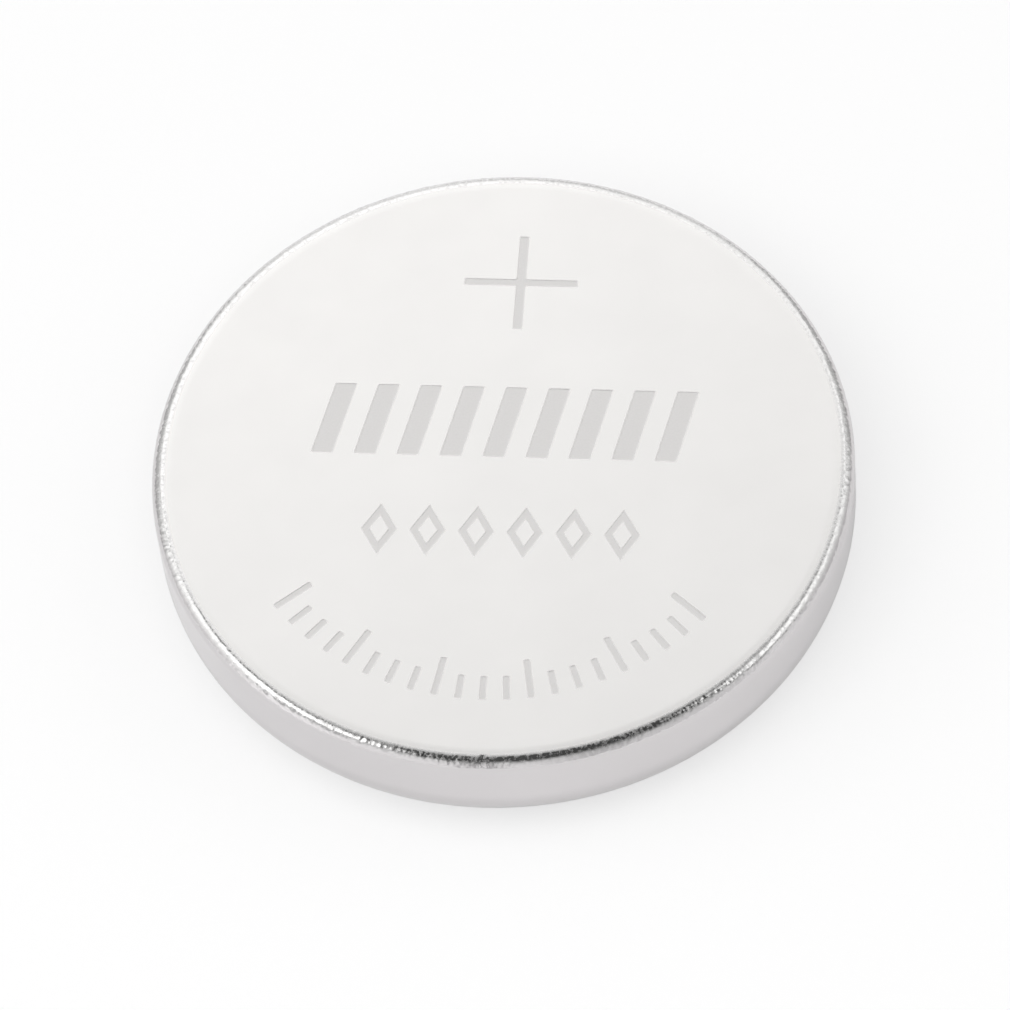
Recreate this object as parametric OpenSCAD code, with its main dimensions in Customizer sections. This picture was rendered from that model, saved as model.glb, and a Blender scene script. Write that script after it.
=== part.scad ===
// Lithium coin cell, 16 mm across and 3.2 mm high, in millimetres.
// The negative contact lies on z = 0 at the origin, and the positive face looks up along +Z.
// Every piece is turned about the Z axis from its half section, and the collector is a flat grid.

/* [Cell] */
// Outside diameter of the cell
cell_d = 16; // [12:0.5:24]
// Height between the two contact faces
cell_h = 3.2; // [2.7:0.1:5]

/* [Positive can] */
// Sheet thickness of the drawn can
can_t = 0.2; // [0.15:0.01:0.24]
// Outside radius of the shoulder around the positive face
shoulder_r = 0.28; // [0.26:0.01:0.5]

/* [Crimped closure] */
// Outside radius to which the can rim is rolled
crimp_r = 1.2; // [0.9:0.05:1.5]
// Angle through which the can rim is rolled in
crimp_turn = 80; // [60:1:88]
// Height of the negative contact over the lowest line of the crimp
cap_proud = 0.48; // [0.4:0.01:0.9]

/* [Sealing gasket] */
// Wall of the gasket between the can and the cap
gasket_t = 0.3; // [0.2:0.01:0.36]
// Thickness of the gasket floor, between the skirt of the cap and the can
gasket_floor = 0.35; // [0.25:0.01:0.45]
// Wall of the inner lip, inside the skirt of the cap
gasket_lip_t = 0.24; // [0.15:0.01:0.3]
// Length of the inner lip below the gasket floor
gasket_lip_h = 0.6; // [0.2:0.05:0.9]
// Width of gasket that shows inside the crimp, measured from the centre of its roll
gasket_show = 0.15; // [0.05:0.01:0.18]
// Sealant film between the gasket and each metal face
film = 0.01; // [0.005:0.005:0.02]

/* [Negative cap] */
// Sheet thickness of the stepped cap
cap_t = 0.2; // [0.15:0.01:0.24]
// Distance from the centre of the roll in to the wall of the cap
cap_gap = 0.45; // [0.35:0.01:0.8]
// Outside radius around the negative contact
cap_edge_r = 0.35; // [0.26:0.01:0.4]
// Radius at the foot of the step in the cap
cap_foot_r = 0.25; // [0.1:0.01:0.28]

/* [Electrode stack] */
// Thickness of the lithium disc
lithium_t = 0.75; // [0.5:0.05:0.9]
// Free width between the lithium disc and the wall of the cap
lithium_clear = 0.2; // [0.16:0.01:0.5]
// Thickness of the separator fleece
separator_t = 0.15; // [0.08:0.01:0.25]
// Free width between the separator and the wall of the cap
separator_clear = 0.05; // [0.01:0.01:0.2]
// Height to which the separator is turned up around the pellet
separator_rim_h = 0.9; // [0.3:0.05:1.2]
// Free width between the separator and the pellet
pellet_clear = 0.02; // [0.01:0.01:0.1]

/* [Collector grid] */
// Thickness of the flattened expanded metal
grid_t = 0.1; // [0.05:0.01:0.15]
// Distance from the edge of the pellet in to the edge of the grid
grid_inset = 0.5; // [0.1:0.05:1.5]
// Long pitch of the diamond openings
grid_long = 1.8; // [1.4:0.1:2.6]
// Short pitch of the diamond openings
grid_short = 0.9; // [0.7:0.05:1.3]
// Width of the strands between the openings
grid_strand = 0.18; // [0.1:0.01:0.22]

/* [Hidden] */

// Steps of a full turn in the solids, and of a full circle in the half sections
turn_fn = 180;
section_fn = 64;

// Places shared by the pieces
cell_r = cell_d / 2;
can_floor_z = cell_h - can_t;
roll_r = cell_r - crimp_r;
roll_z = cap_proud + crimp_r;

// Radii about the centre of the roll, from the crimped rim in to the cap
gasket_out = crimp_r - can_t - film;
gasket_in = gasket_out - gasket_t;
bend_out = gasket_in - film;
bend_in = bend_out - cap_t;

// Skirt of the cap, which stands in the channel of the gasket
channel_z = can_floor_z - film - gasket_floor;
skirt_z = channel_z - film;
skirt_out = roll_r + bend_out;
skirt_in = roll_r + bend_in;

// Inner lip of the gasket
lip_out = skirt_in - film;
lip_in = lip_out - gasket_lip_t;
lip_z = channel_z - gasket_lip_h;

// Step of the cap, from its contact face up to the flange under the gasket
cap_wall = roll_r - cap_gap;
flange_z = roll_z - bend_out;

// Electrode stack, from the cap up to the can
cup_r = cap_wall - cap_t;
lithium_r = cup_r - lithium_clear;
separator_z = cap_t + lithium_t;
separator_r = cup_r - separator_clear;
pellet_z = separator_z + separator_t;
pellet_r = separator_r - separator_t - pellet_clear;
grid_z = can_floor_z - grid_t;
grid_r = pellet_r - grid_inset;

// Metals, plastic and active materials
NICKEL = [0.86, 0.86, 0.87];
STEEL = [0.80, 0.80, 0.81];
POLYMER = [0.23, 0.24, 0.26];
LITHIUM = [0.70, 0.71, 0.74];
FLEECE = [0.93, 0.93, 0.90];
OXIDE = [0.12, 0.12, 0.13];
MESH = [0.62, 0.63, 0.66];

// Half section of a flat or a straight wall, between two corners
module strip(from, to) {
    translate(from)
        square([to[0] - from[0], to[1] - from[1]]);
}

// Half section of a bend about a centre, from angle a to angle b, at most a quarter turn
module bend(centre, r_in, r_out, a, b) {
    reach = 2 * r_out;
    middle = (a + b) / 2;
    translate(centre)
        intersection() {
            difference() {
                circle(r = r_out, $fn = section_fn);
                if (r_in > 0)
                    circle(r = r_in, $fn = section_fn);
            }
            polygon([
                [0, 0],
                [reach * cos(a), reach * sin(a)],
                [reach * cos(middle), reach * sin(middle)],
                [reach * cos(b), reach * sin(b)]
            ]);
        }
}

// One opening of the grid, a diamond inside its pitch
module diamond() {
    half_long = grid_long / 2 - grid_strand;
    half_short = half_long * grid_short / grid_long;
    polygon([[-half_long, 0], [0, -half_short], [half_long, 0], [0, half_short]]);
}

// Deep-drawn can: positive face, shoulder, straight wall and the rim rolled over the gasket
module positive_can() {
    color(NICKEL)
        rotate_extrude($fn = turn_fn)
            union() {
                strip([0, can_floor_z], [cell_r - shoulder_r, cell_h]);
                bend(
                    [cell_r - shoulder_r, cell_h - shoulder_r],
                    shoulder_r - can_t, shoulder_r, 0, 90
                );
                strip([cell_r - can_t, roll_z], [cell_r, cell_h - shoulder_r]);
                bend([roll_r, roll_z], crimp_r - can_t, crimp_r, -crimp_turn, 0);
            }
}

// Channel-shaped gasket: outer wall, floor against the can, inner lip and the lip under the crimp
module sealing_gasket() {
    wall_out = cell_r - can_t - film;
    wall_in = wall_out - gasket_t;
    top = can_floor_z - film;
    corner_r = shoulder_r - can_t - film;
    color(POLYMER)
        rotate_extrude($fn = turn_fn)
            union() {
                strip([wall_in, roll_z], [wall_out, top - corner_r]);
                strip([lip_in, channel_z], [wall_out - corner_r, top]);
                bend([wall_out - corner_r, top - corner_r], 0, corner_r, 0, 90);
                strip([lip_in, lip_z], [lip_out, channel_z]);
                bend([roll_r, roll_z], gasket_in, gasket_out, -90, 0);
                strip(
                    [roll_r - gasket_show, roll_z - gasket_out],
                    [roll_r, roll_z - gasket_in]
                );
            }
}

// Pressed cap: negative contact, step, flange and the skirt that stands in the gasket
module negative_cap() {
    color(STEEL)
        rotate_extrude($fn = turn_fn)
            union() {
                strip([0, 0], [cap_wall - cap_edge_r, cap_t]);
                bend(
                    [cap_wall - cap_edge_r, cap_edge_r],
                    cap_edge_r - cap_t, cap_edge_r, -90, 0
                );
                strip([cup_r, cap_edge_r], [cap_wall, flange_z - cap_foot_r]);
                bend(
                    [cap_wall + cap_foot_r, flange_z - cap_foot_r],
                    cap_foot_r, cap_foot_r + cap_t, 90, 180
                );
                strip([cap_wall + cap_foot_r, flange_z], [roll_r, flange_z + cap_t]);
                bend([roll_r, roll_z], bend_in, bend_out, -90, 0);
                strip([skirt_in, roll_z], [skirt_out, skirt_z]);
            }
}

// Lithium foil disc, pressed onto the inside of the cap
module lithium_disc() {
    color(LITHIUM)
        translate([0, 0, cap_t])
            cylinder(h = lithium_t, r = lithium_r, $fn = turn_fn);
}

// Fleece between the electrodes, turned up around the pellet
module separator() {
    color(FLEECE)
        rotate_extrude($fn = turn_fn)
            union() {
                strip([0, separator_z], [separator_r, pellet_z]);
                strip([separator_r - separator_t, pellet_z], [separator_r, pellet_z + separator_rim_h]);
            }
}

// Pressed manganese dioxide pellet, which fills the height left under the grid
module cathode_pellet() {
    color(OXIDE)
        translate([0, 0, pellet_z])
            cylinder(h = grid_z - pellet_z, r = pellet_r, $fn = turn_fn);
}

// Flattened expanded metal against the floor of the can, with whole openings only
module collector_grid() {
    rows = floor(2 * grid_r / grid_short);
    columns = ceil(grid_r / grid_long);
    color(MESH)
        translate([0, 0, grid_z])
            linear_extrude(height = grid_t)
                difference() {
                    circle(r = grid_r, $fn = turn_fn);
                    for (row = [-rows : rows])
                        for (column = [-columns : columns]) {
                            x = (column + (row % 2 == 0 ? 0 : 0.5)) * grid_long;
                            y = row * grid_short / 2;
                            if (norm([abs(x) + grid_long / 2, abs(y)]) < grid_r
                                && norm([abs(x), abs(y) + grid_short / 2]) < grid_r)
                                translate([x, y])
                                    diamond();
                        }
                }
}

positive_can();
sealing_gasket();
negative_cap();
lithium_disc();
separator();
cathode_pellet();
collector_grid();
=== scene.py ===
"""Lithium coin cell: stamped can, crimped closure, finishes and studio around the solids."""

import logging
import math
from dataclasses import dataclass, field
from enum import Enum
from functools import reduce
from typing import Callable, Sequence

import bpy
import numpy as np
from mathutils import Matrix, Vector


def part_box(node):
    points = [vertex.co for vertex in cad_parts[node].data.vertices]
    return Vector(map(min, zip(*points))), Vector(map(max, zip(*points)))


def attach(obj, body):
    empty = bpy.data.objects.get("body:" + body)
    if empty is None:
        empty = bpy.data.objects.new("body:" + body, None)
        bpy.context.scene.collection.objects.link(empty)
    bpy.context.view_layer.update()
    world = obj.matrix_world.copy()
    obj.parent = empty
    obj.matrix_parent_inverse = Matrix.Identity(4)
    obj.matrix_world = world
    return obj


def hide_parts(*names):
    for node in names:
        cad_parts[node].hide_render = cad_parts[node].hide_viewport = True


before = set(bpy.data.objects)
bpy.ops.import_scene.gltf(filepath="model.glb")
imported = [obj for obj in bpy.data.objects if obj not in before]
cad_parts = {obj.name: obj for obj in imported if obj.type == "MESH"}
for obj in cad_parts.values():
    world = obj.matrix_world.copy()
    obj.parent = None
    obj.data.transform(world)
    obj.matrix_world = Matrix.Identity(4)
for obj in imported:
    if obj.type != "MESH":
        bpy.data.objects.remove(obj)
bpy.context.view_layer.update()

logging.basicConfig(level=logging.INFO, format="%(message)s")
log = logging.getLogger("coin_cell")

MM = 0.001
PHOTO_PIXELS = 1010

Object = bpy.types.Object
Socket = bpy.types.NodeSocket
Colour = tuple[float, float, float]
Point = tuple[float, float]
WHITE = (1, 1, 1, 1)


# Selecting and shaping in edit mode


class Pick(Enum):
    """The kind of mesh element that a selection holds."""

    EDGES = "EDGE"
    FACES = "FACE"


def leave_edit() -> None:
    """Goes back to object mode, so that the mesh data is current."""
    if bpy.context.object and bpy.context.object.mode != "OBJECT":
        bpy.ops.object.mode_set(mode="OBJECT")


def edit_all() -> None:
    """Enters edit mode on the active object, with everything selected."""
    bpy.ops.object.mode_set(mode="EDIT")
    bpy.ops.mesh.select_all(action="SELECT")


def deselect_objects() -> None:
    """Goes back to object mode and leaves no object selected."""
    leave_edit()
    bpy.ops.object.select_all(action="DESELECT")


def activate(piece: Object) -> None:
    """Makes one object the only selected one and the active one.

    Args:
        piece: The object to work on.
    """
    deselect_objects()
    piece.select_set(True)
    bpy.context.view_layer.objects.active = piece


def select(piece: Object, pick: Pick, test: Callable[[Vector, Vector], bool]) -> None:
    """Selects the edges or faces that pass a test, and enters edit mode.

    Args:
        piece: The object whose mesh is selected in.
        pick: Edges or faces.
        test: Takes two end points of an edge, or the centre and normal of a face.
    """
    activate(piece)
    mesh = piece.data
    for elements in (mesh.vertices, mesh.edges, mesh.polygons):
        elements.foreach_set("select", np.zeros(len(elements), dtype=bool))
    if pick is Pick.EDGES:
        points, elements = mesh.vertices, mesh.edges
        chosen = [test(points[e.vertices[0]].co, points[e.vertices[1]].co) for e in elements]
    else:
        elements = mesh.polygons
        chosen = [test(face.center, face.normal) for face in elements]
    elements.foreach_set("select", np.array(chosen, dtype=bool))
    bpy.ops.object.mode_set(mode="EDIT")
    bpy.ops.mesh.select_mode(type=pick.value)


def radius_of(point: Vector) -> float:
    """Distance of a point from the axis of the cell."""
    return math.hypot(point.x, point.y)


def face_outward(piece: Object) -> None:
    """Turns all normals of a closed piece outward.

    Args:
        piece: The object to mend.
    """
    activate(piece)
    edit_all()
    bpy.ops.mesh.normals_make_consistent(inside=False)
    leave_edit()


def dress(piece: Object, *materials: bpy.types.Material) -> None:
    """Gives a piece its materials.

    Args:
        piece: The piece.
        materials: Its materials, in the order of its slots.
    """
    piece.data.materials.clear()
    for material in materials:
        piece.data.materials.append(material)


@dataclass
class Lathe:
    """Draws a turned shell ring by ring, from a disc or from an open ring."""

    name: str
    steps: int  # vertices in each ring
    near: float = 2e-7  # distance within which a vertex lies on a ring, in metres
    seam: float = 5e-8  # distance within which the two ends of a shell merge, in metres
    piece: Object | None = None
    radius: float = 0.0  # radius of the ring that is drawn now, in metres
    height: float = 0.0  # height of that ring, in metres

    def start(self, radius: float, height: float, filled: bool) -> Object:
        """Adds the first ring.

        Args:
            radius: Its radius.
            height: Its height.
            filled: True for a disc, False for an open ring.

        Returns:
            The new object.
        """
        deselect_objects()
        fill = "NGON" if filled else "NOTHING"
        bpy.ops.mesh.primitive_circle_add(vertices=self.steps, radius=radius, fill_type=fill)
        self.piece = bpy.context.object
        self.piece.name = self.name
        self.piece.data.name = self.name
        self.piece.data.transform(Matrix.Translation((0, 0, height)))
        self.radius, self.height = radius, height
        self.hold_rim()
        return self.piece

    def on_rim(self, *ends: Vector) -> bool:
        """Whether every given point lies on the ring that is drawn now."""
        return all(
            abs(radius_of(end) - self.radius) < self.near
            and abs(end.z - self.height) < self.near
            for end in ends
        )

    def hold_rim(self) -> None:
        """Selects the ring at the current radius and height, ready to be drawn on."""
        select(self.piece, Pick.EDGES, self.on_rim)

    def to(self, radius: float, height: float) -> None:
        """Draws the rim on to a new radius and height.

        Args:
            radius: The new radius, in metres.
            height: The new height, in metres.
        """
        share = radius / self.radius
        bpy.ops.mesh.extrude_edges_move()
        bpy.ops.transform.resize(value=(share, share, 1), center_override=(0, 0, 0))
        bpy.ops.transform.translate(value=(0, 0, height - self.height))
        self.radius, self.height = radius, height

    def bend(self, centre: Point, radius: float, start: float, end: float, parts: int) -> None:
        """Draws the rim around a bend.

        Args:
            centre: Radius and height of the bend's centre, in metres.
            radius: Radius of the bend.
            start: First angle in degrees, from the outward direction up.
            end: Last angle in degrees.
            parts: Rows in the bend.
        """
        for part in range(parts + 1):
            angle = math.radians(start + (end - start) * part / parts)
            radius_now = centre[0] + radius * math.cos(angle)
            height_now = centre[1] + radius * math.sin(angle)
            if math.hypot(radius_now - self.radius, height_now - self.height) > self.near / 2:
                self.to(radius_now, height_now)

    def cover(self) -> None:
        """Closes the rim with one flat face."""
        bpy.ops.mesh.edge_face_add()

    def join_ends(self) -> None:
        """Merges the last ring with the first where they meet."""
        bpy.ops.mesh.select_all(action="SELECT")
        bpy.ops.mesh.remove_doubles(threshold=self.seam)

    def finish(self, sharp_degrees: float) -> Object:
        """Turns the normals outward and smooths the surface between sharp edges.

        Args:
            sharp_degrees: Edges that turn by more than this stay sharp.

        Returns:
            The finished object.
        """
        face_outward(self.piece)
        activate(self.piece)
        bpy.ops.object.shade_smooth_by_angle(angle=math.radians(sharp_degrees))
        return self.piece


# Marks stamped into the positive face


class MarkShape(Enum):
    """The outline of one stamped mark."""

    CROSS = "cross"
    BAR = "bar"
    SLANT = "slant"
    LOZENGE = "lozenge"


@dataclass(frozen=True)
class Mark:
    """One mark in the plane of the positive face, in millimetres."""

    shape: MarkShape
    centre: Point
    size: Point
    turn: float = 0.0


@dataclass(frozen=True)
class MarkRow:
    """A level row of equal marks, in millimetres."""

    shape: MarkShape
    centre: Point
    size: Point
    pitch: float
    count: int

    def marks(self) -> list[Mark]:
        """Lists the marks of the row, from left to right."""
        asides = ((index - (self.count - 1) / 2) * self.pitch for index in range(self.count))
        x, y = self.centre
        return [Mark(self.shape, (x + aside, y), self.size) for aside in asides]


@dataclass
class StampedMarks:
    """The polarity sign and the plain marks under it, as one punch. Sizes in millimetres."""

    stroke: Point = (0.225, 0.19)  # width of the upright stroke of the sign and of the level one
    thin_stroke: float = 0.17  # width of a stroke of the lozenges
    depth: float = 0.004
    draft: float = 0.03  # how far the floor of a mark lies inside its outline
    corner: float = 0.045  # how far the rounding of a corner reaches
    lift: float = 0.03  # height of the punch above the face
    sign_centre: Point = (0.1, 4.89)
    sign_size: Point = (2.63, 2.58)  # width and height of the sign
    rows: tuple[MarkRow, ...] = (
        MarkRow(MarkShape.SLANT, (0.0, 1.05), (0.5, 1.9), pitch=0.98, count=9),
        MarkRow(MarkShape.LOZENGE, (0.1, -1.9), (0.82, 1.36), pitch=1.1, count=6),
    )
    lean: float = 0.42  # how far the top of a slanted bar is moved aside
    arc_radius: float = 6.3  # outer radius of the arc of ticks
    arc_half_angle: float = 50.0  # half of the angle that the arc spans, in degrees
    ticks: int = 21
    tick_size: Point = (0.16, 0.62)  # width and height of a tick
    long_tick: float = 1.0  # height of the longer ticks
    long_every: int = 4  # ticks from one longer tick to the next

    def layout(self) -> list[Mark]:
        """Lists every mark on the face.

        Returns:
            The marks, from the top of the face down.
        """
        marks = [Mark(MarkShape.CROSS, self.sign_centre, self.sign_size)]
        for row in self.rows:
            marks += row.marks()
        width, short = self.tick_size
        for index in range(self.ticks):
            turn = self.arc_half_angle * (2 * index / (self.ticks - 1) - 1)
            height = self.long_tick if index % self.long_every == 0 else short
            reach = self.arc_radius - height / 2
            angle = math.radians(turn)
            centre = (reach * math.sin(angle), -reach * math.cos(angle))
            marks.append(Mark(MarkShape.BAR, centre, (width, height), turn))
        return marks

    def outline(self, mark: Mark) -> Object:
        """Draws the flat outline of one mark, lying at zero height about its own centre.

        Args:
            mark: The mark to draw.

        Returns:
            The flat object.
        """
        deselect_objects()
        bpy.ops.mesh.primitive_plane_add(size=1)
        piece = bpy.context.object
        width, height = self.stroke if mark.shape is MarkShape.CROSS else mark.size
        if mark.shape is MarkShape.LOZENGE:
            piece.rotation_euler = (0, 0, math.pi / 4)
            bpy.ops.object.transform_apply(location=False, rotation=True, scale=False)
            width, height = width / math.sqrt(2), height / math.sqrt(2)
        piece.scale = (width * MM, height * MM, 1)
        bpy.ops.object.transform_apply(location=False, rotation=False, scale=True)
        if mark.shape is MarkShape.CROSS:
            self.draw_arms(piece, mark)
        if mark.shape is MarkShape.SLANT:
            self.lean_over(piece)
        if mark.shape is MarkShape.LOZENGE:
            self.open_middle()
        else:
            self.round_corners()
        leave_edit()
        return piece

    def draw_arms(self, piece: Object, mark: Mark) -> None:
        """Extrudes the four arms of the polarity sign from its middle square.

        Args:
            piece: The middle square.
            mark: The sign.
        """
        near = 1e-8
        for axis in (0, 1):
            half = self.stroke[axis] / 2 * MM
            across = self.stroke[1 - axis] / 2 * MM + near
            reach = mark.size[axis] / 2 * MM - half
            for side in (-1, 1):
                select(
                    piece,
                    Pick.EDGES,
                    lambda *ends: all(
                        abs(end[axis] - side * half) < near and abs(end[1 - axis]) < across
                        for end in ends
                    ),
                )
                move = (side * reach, 0, 0) if axis == 0 else (0, side * reach, 0)
                bpy.ops.mesh.extrude_edges_move(TRANSFORM_OT_translate={"value": move})

    def lean_over(self, piece: Object) -> None:
        """Moves the upper edge of an upright bar to the right and the lower one to the left."""
        for side in (-1, 1):
            select(piece, Pick.EDGES, lambda a, b: side * a.y > 0 and side * b.y > 0)
            bpy.ops.transform.translate(value=(side * self.lean / 2 * MM, 0, 0))

    def round_corners(self) -> None:
        """Rounds every corner of the active flat outline, once it is a single face."""
        leave_edit()
        edit_all()
        bpy.ops.mesh.dissolve_limited(angle_limit=math.radians(1))
        bpy.ops.mesh.select_all(action="SELECT")
        bpy.ops.mesh.bevel(offset=self.corner * MM, segments=4, affect="VERTICES")

    def open_middle(self) -> None:
        """Opens the middle of the active flat outline, so that only a stroke is left."""
        edit_all()
        bpy.ops.mesh.inset(thickness=self.thin_stroke * MM, use_even_offset=True)
        bpy.ops.mesh.delete(type="FACE")

    def sink(self, body: Object) -> None:
        """Gives a flat outline its height above the face and its sloping walls below it.

        Args:
            body: The flat outline, at the height of the face.
        """
        select(body, Pick.FACES, lambda centre, normal: True)
        up = (0, 0, self.lift * MM)
        bpy.ops.mesh.extrude_region_move(TRANSFORM_OT_translate={"value": up})
        face_outward(body)
        select(body, Pick.FACES, lambda centre, normal: normal.z < -0.5)
        draft, depth = self.draft * MM, self.depth * MM
        bpy.ops.mesh.inset(thickness=draft, depth=depth, use_even_offset=True)
        leave_edit()

    def punch(self, top: float) -> Object:
        """Builds every mark as a closed body with sloping walls, joined into one punch.

        Args:
            top: Height of the face that is stamped, in metres.

        Returns:
            The punch.
        """
        bodies = []
        for mark in self.layout():
            body = self.outline(mark)
            place = Matrix.Translation((mark.centre[0] * MM, mark.centre[1] * MM, top))
            body.data.transform(place @ Matrix.Rotation(math.radians(mark.turn), 4, "Z"))
            self.sink(body)
            bodies.append(body)
        activate(bodies[0])
        for body in bodies:
            body.select_set(True)
        bpy.ops.object.join()
        return bpy.context.object


# Node trees


@dataclass
class ShaderTree:
    """A thin wrapper that adds and joins the nodes of one material or of the world."""

    material: bpy.types.Material | bpy.types.World

    @classmethod
    def new(cls, name: str, world: bool = False) -> "ShaderTree":
        """Makes an empty node material, or an empty world.

        Args:
            name: Its name.
            world: True for a world.

        Returns:
            Its tree, without nodes.
        """
        made = bpy.data.worlds.new(name) if world else bpy.data.materials.new(name)
        made.use_nodes = True
        made.node_tree.nodes.clear()
        return cls(made)

    def add(self, kind: str, inputs: dict | None = None, **settings: object) -> bpy.types.Node:
        """Adds a node.

        Args:
            kind: Blender's type name of the node.
            inputs: Values or output sockets, by input name or number.
            settings: Properties of the node itself.

        Returns:
            The new node.
        """
        node = self.material.node_tree.nodes.new(kind)
        for name, value in settings.items():
            setattr(node, name, value)
        for key, value in (inputs or {}).items():
            if isinstance(value, Socket):
                self.material.node_tree.links.new(value, node.inputs[key])
            else:
                node.inputs[key].default_value = value
        return node

    def place(self) -> Socket:
        """The object coordinates, in metres."""
        return self.add("ShaderNodeTexCoord").outputs["Object"]

    def math(self, operation: str, *values: object) -> Socket:
        """Adds a math node and gives its result."""
        return self.add("ShaderNodeMath", dict(enumerate(values)), operation=operation).outputs[0]

    def product(self, *factors: object) -> Socket:
        """Multiplies two or more values."""
        return reduce(lambda one, other: self.math("MULTIPLY", one, other), factors)

    def ramp(self, value: Socket, low: float, high: float) -> Socket:
        """A smooth step that is 0 where the value is low and 1 where it is high."""
        inputs = {"Value": value, "From Min": low, "From Max": high}
        node = self.add("ShaderNodeMapRange", inputs, interpolation_type="SMOOTHSTEP")
        return node.outputs["Result"]

    def spread(self, value: Socket, low: float, high: float) -> Socket:
        """Maps a texture value, which runs from 0.3 to 0.7, onto a range."""
        inputs = {"Value": value, "From Min": 0.3, "From Max": 0.7, "To Min": low, "To Max": high}
        return self.add("ShaderNodeMapRange", inputs).outputs["Result"]

    def noise(self, place: Socket, grain: float, detail: float = 3.0) -> Socket:
        """A noise with grains of a size in millimetres and with octaves of finer detail."""
        inputs = {"Vector": place, "Scale": 1 / (grain * MM), "Detail": detail}
        return self.add("ShaderNodeTexNoise", inputs).outputs["Fac"]

    def stretched(self, place: Socket, scale: tuple[float, float, float]) -> Socket:
        """Coordinates that are multiplied by a factor of their own along each axis."""
        return self.add("ShaderNodeMapping", {"Vector": place, "Scale": scale}).outputs["Vector"]

    def polar(self, place: Socket) -> tuple[Socket, Socket, Socket]:
        """Radius, angle and height about the axis of the cell.

        Args:
            place: Coordinates in metres.

        Returns:
            The three sockets.
        """
        x, y, height = self.add("ShaderNodeSeparateXYZ", {0: place}).outputs
        squares = self.math("ADD", self.product(x, x), self.product(y, y))
        return self.math("SQRT", squares), self.math("ARCTAN2", y, x), height

    def blend(self, share: Socket, first: Socket | Colour, second: Socket | Colour) -> Socket:
        """Mixes two colours.

        Args:
            share: Share of the second colour.
            first: First colour, or its socket.
            second: Second colour, or its socket.

        Returns:
            The mixed colour.
        """
        node = self.add("ShaderNodeMix", {0: share}, data_type="RGBA")
        for index, value in ((6, first), (7, second)):
            if isinstance(value, Socket):
                self.material.node_tree.links.new(value, node.inputs[index])
            else:
                node.inputs[index].default_value = (*value, 1.0)
        return node.outputs[2]

    def shades(self, share: Socket, colour: Colour, low: float, high: float) -> Socket:
        """Mixes two shades of one colour, which is multiplied by low and by high."""
        return self.blend(share, *(tuple(c * factor for c in colour) for factor in (low, high)))

    def mix_values(self, share: object, first: object, second: object) -> Socket:
        """Mixes two numbers by a share of the second."""
        inputs = {0: share, 2: first, 3: second}
        return self.add("ShaderNodeMix", inputs, data_type="FLOAT").outputs[0]

    def bump(
        self,
        height: Socket,
        distance: float,
        strength: Socket | float = 1.0,
        normal: Socket | None = None,
    ) -> Socket:
        """Turns a height between 0 and 1 into a normal.

        Args:
            height: The height value.
            distance: Height of the relief, in millimetres.
            strength: How much of it shows, or the socket that says so.
            normal: A normal that the relief is added to.

        Returns:
            The new normal.
        """
        inputs = {"Height": height, "Distance": distance * MM, "Strength": strength}
        if normal is not None:
            inputs["Normal"] = normal
        return self.add("ShaderNodeBump", inputs).outputs["Normal"]

    def steps(self, value: Socket, stops: Sequence[Point]) -> Socket:
        """Reads a brightness from a list of stops.

        Args:
            value: The place on the list, from 0 to 1.
            stops: Place and brightness of each stop.

        Returns:
            The brightness.
        """
        node = self.add("ShaderNodeValToRGB", {"Fac": value})
        ramp = node.color_ramp
        ramp.interpolation = "EASE"
        while len(ramp.elements) < len(stops):
            ramp.elements.new(1.0)
        for element, (place, level) in zip(ramp.elements, stops):
            element.position = place
            element.color = (level, level, level, 1.0)
        return node.outputs["Color"]

    def seen(self) -> tuple[Socket, Socket]:
        """Whether the camera looks, and whether metal or glass does.

        Returns:
            The two shares, each 0 or 1.
        """
        path = self.add("ShaderNodeLightPath").outputs
        mirrored = self.math("MAXIMUM", path["Is Glossy Ray"], path["Is Transmission Ray"])
        return path["Is Camera Ray"], mirrored

    def surface(
        self,
        colour: Socket,
        roughness: Socket | float,
        normal: Socket,
        metallic: Socket | float = 0.0,
    ) -> bpy.types.Material:
        """Ends the material with a Principled shader.

        Args:
            colour: Base colour.
            roughness: Roughness.
            normal: Normal with the fine relief.
            metallic: Share of the light that is mirrored as metal does.

        Returns:
            The finished material.
        """
        inputs = {
            "Base Color": colour,
            "Metallic": metallic,
            "Roughness": roughness,
            "Normal": normal,
        }
        shader = self.add("ShaderNodeBsdfPrincipled", inputs)
        self.add("ShaderNodeOutputMaterial", {"Surface": shader.outputs[0]})
        return self.material


# Finishes


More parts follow.
